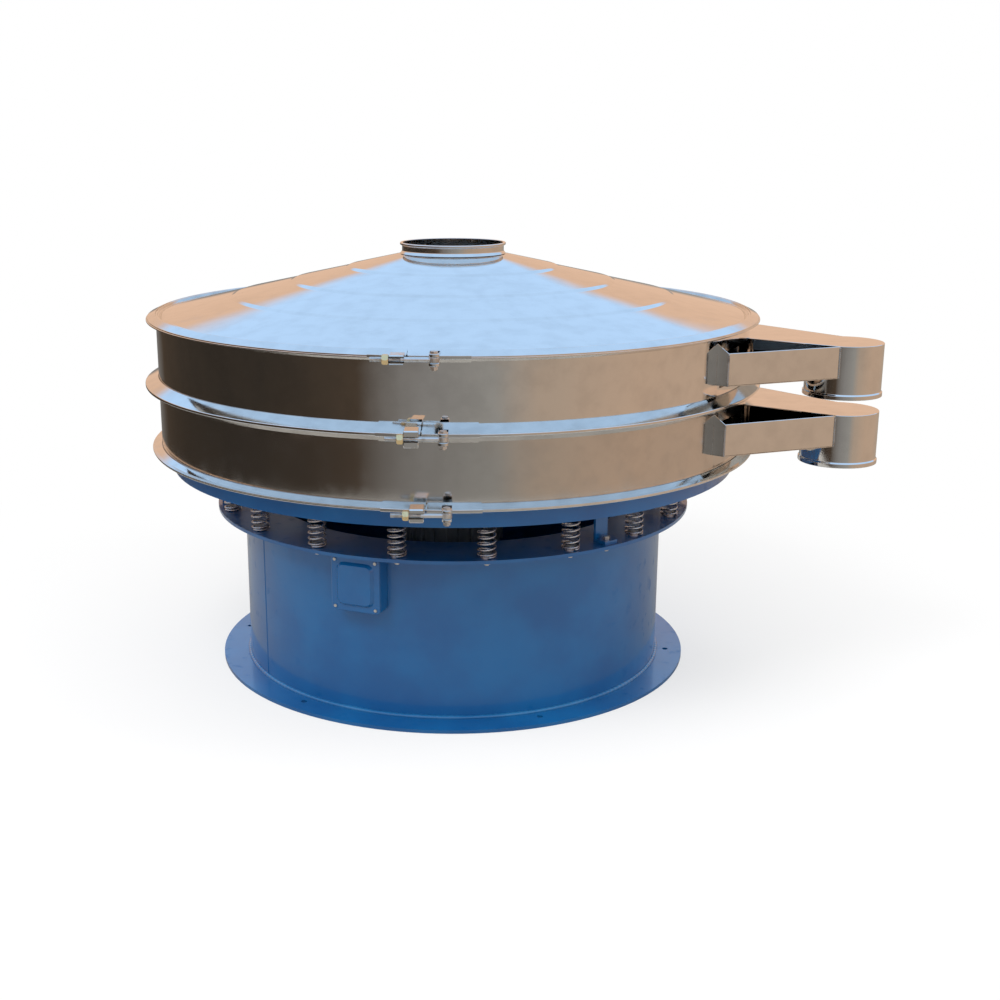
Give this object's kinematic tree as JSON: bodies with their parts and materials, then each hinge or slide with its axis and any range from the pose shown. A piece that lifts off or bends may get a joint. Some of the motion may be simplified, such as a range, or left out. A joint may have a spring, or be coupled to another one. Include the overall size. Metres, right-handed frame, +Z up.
{
  "type": "vibrating sieve",
  "caption": "Round vibrating sieve: sprung blue base with a hidden eccentric motor, polished sieve frames held by clamp bands, a domed lid with a feed collar, and side spouts.",
  "frame": {"origin": "on the sieve's axis, at the underside of the floor flange", "axes": "+Z up along the axis through the feed collar; -Y towards the clamp closures; the spouts point to +X, turned 16.4 degrees towards -Y"},
  "size_m": [2.1854, 1.939, 1.2954],
  "materials": {
    "blue_paint": "gloss enamel",
    "polished_steel": "mirror-polished stainless steel",
    "spring_steel": "bright zinc plate",
    "zinc_steel": "bright zinc plate",
    "brass": "turned brass",
    "rubber": "matte",
    "mesh": "woven stainless wire",
    "motor_paint": "painted casting",
    "shaft_steel": "ground",
    "weight_iron": "as cast"
  },
  "bodies": {
    "base": {"base_flange": "blue_paint", "base_drum": "blue_paint", "spring_flange": "blue_paint", "spring_seats": "zinc_steel", "spring_01": "spring_steel", "spring_02": "spring_steel", "spring_03": "spring_steel", "spring_04": "spring_steel", "spring_05": "spring_steel", "spring_06": "spring_steel", "spring_07": "spring_steel", "spring_08": "spring_steel", "spring_09": "spring_steel", "spring_10": "spring_steel", "spring_11": "spring_steel", "spring_12": "spring_steel", "spring_13": "spring_steel", "spring_14": "spring_steel", "spring_15": "spring_steel", "spring_16": "spring_steel", "spring_17": "spring_steel", "spring_18": "spring_steel", "transit_brackets": "blue_paint", "transit_bolts": "zinc_steel", "junction_box": "blue_paint", "junction_box_cover": "blue_paint", "junction_box_screws": "zinc_steel", "cable_gland": "rubber"},
    "table": {"vibrating_table": "blue_paint", "spring_caps": "zinc_steel", "motor_housing": "motor_paint", "motor_bells": "motor_paint", "motor_bolts": "zinc_steel", "lower_frame": "polished_steel", "upper_frame": "polished_steel", "lower_spout": "polished_steel", "upper_spout": "polished_steel", "bottom_gasket": "rubber", "top_gasket": "rubber", "screen_gaskets": "rubber", "screen_ring": "polished_steel", "screen_mesh": "mesh", "discharge_pan": "polished_steel", "lid": "polished_steel", "inlet_collar": "polished_steel", "top_band": "polished_steel", "middle_band": "polished_steel", "bottom_band": "polished_steel", "top_pivot_bolt": "zinc_steel", "middle_pivot_bolt": "zinc_steel", "bottom_pivot_bolt": "zinc_steel"},
    "rotor": {"motor_shaft": "shaft_steel", "upper_weight": "weight_iron"},
    "lead_weight": {"lower_weight": "weight_iron"},
    "top_swing_bolt": {"top_eye_bolt": "zinc_steel"},
    "top_nut": {"top_closure_nut": "brass"},
    "middle_swing_bolt": {"middle_eye_bolt": "zinc_steel"},
    "middle_nut": {"middle_closure_nut": "brass"},
    "bottom_swing_bolt": {"bottom_eye_bolt": "zinc_steel"},
    "bottom_nut": {"bottom_closure_nut": "brass"}
  },
  "joints": [
    {"name": "table_bounce", "type": "slide", "parent": "base", "child": "table", "axis": [0, 0, 1], "range_m": [-0.005, 0.005], "stiffness_N_per_m": 420000, "springref_m": 0.01683, "deforming": ["spring_01", "spring_02", "spring_03", "spring_04", "spring_05", "spring_06", "spring_07", "spring_08", "spring_09", "spring_10", "spring_11", "spring_12", "spring_13", "spring_14", "spring_15", "spring_16", "spring_17", "spring_18"]},
    {"name": "motor_spin", "type": "hinge", "parent": "table", "child": "rotor", "pos_m": [0, 0, 0.487], "axis": [0, 0, 1], "continuous": true},
    {"name": "lead_angle", "type": "hinge", "parent": "rotor", "child": "lead_weight", "pos_m": [0, 0, 0.249], "axis": [0, 0, 1], "range_deg": [0, 90]},
    {"name": "top_bolt_swing", "type": "hinge", "parent": "table", "child": "top_swing_bolt", "pos_m": [-0.04565, -0.96792, 1.086], "axis": [0, 0, 1], "range_deg": [0, 100]},
    {"name": "top_nut_slide", "type": "slide", "parent": "top_swing_bolt", "child": "top_nut", "axis": [-0.9989, 0.0471, 0], "range_m": [0, 0.02]},
    {"name": "middle_bolt_swing", "type": "hinge", "parent": "table", "child": "middle_swing_bolt", "pos_m": [-0.02402, -0.98271, 0.892], "axis": [0, 0, 1], "range_deg": [0, 100]},
    {"name": "middle_nut_slide", "type": "slide", "parent": "middle_swing_bolt", "child": "middle_nut", "axis": [-0.9997, 0.0244, 0], "range_m": [0, 0.02]},
    {"name": "bottom_bolt_swing", "type": "hinge", "parent": "table", "child": "bottom_swing_bolt", "pos_m": [-0.01524, -0.96988, 0.694], "axis": [0, 0, 1], "range_deg": [0, 100]},
    {"name": "bottom_nut_slide", "type": "slide", "parent": "bottom_swing_bolt", "child": "bottom_nut", "axis": [-0.9999, 0.0157, 0], "range_m": [0, 0.02]}
  ]
}
